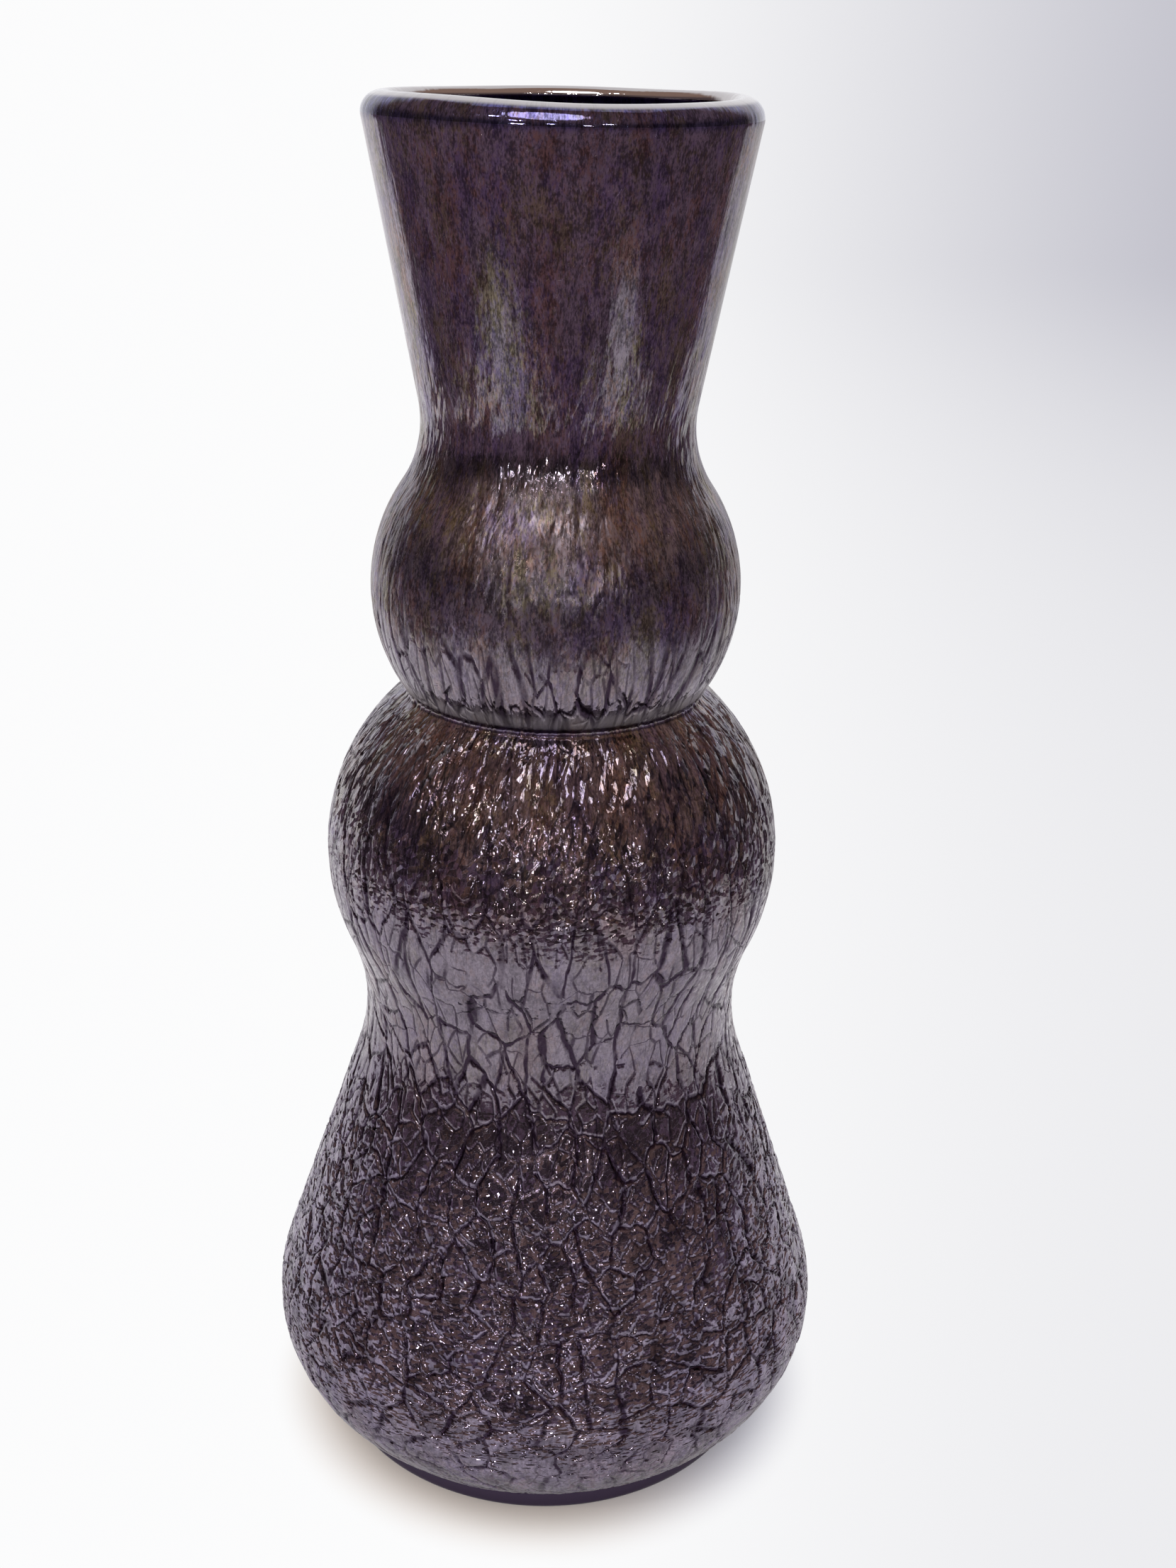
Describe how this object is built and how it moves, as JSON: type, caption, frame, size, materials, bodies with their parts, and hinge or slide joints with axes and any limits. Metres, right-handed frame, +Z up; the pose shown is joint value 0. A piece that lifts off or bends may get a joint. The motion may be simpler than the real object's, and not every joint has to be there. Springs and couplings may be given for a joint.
{
  "type": "double gourd vase",
  "caption": "Tall blown-glass vase: flared collar, stacked gourd bulbs with a sharp crease, and a bell base, in dark lustred crackle glass.",
  "frame": {"origin": "middle of the flat resting face under the foot pad", "axes": "+Z up along the axis of the vase, from the foot to the mouth; any direction across it is alike"},
  "size_m": [0.128, 0.128, 0.3],
  "materials": {
    "lip_lustre": "fire-polished glass lip with a pale metallic lustre",
    "crackle_lustre": "crackled dark amethyst glass under an iridescent metallic lustre",
    "amethyst_glass": "smooth deep amethyst glass, nearly opaque",
    "foot_glass": "smooth ground and polished deep amethyst glass"
  },
  "bodies": {
    "root": {"lip_ring": "lip_lustre", "crackle_casing": "crackle_lustre", "amethyst_body": "amethyst_glass", "foot_pad": "foot_glass"}
  },
  "joints": []
}
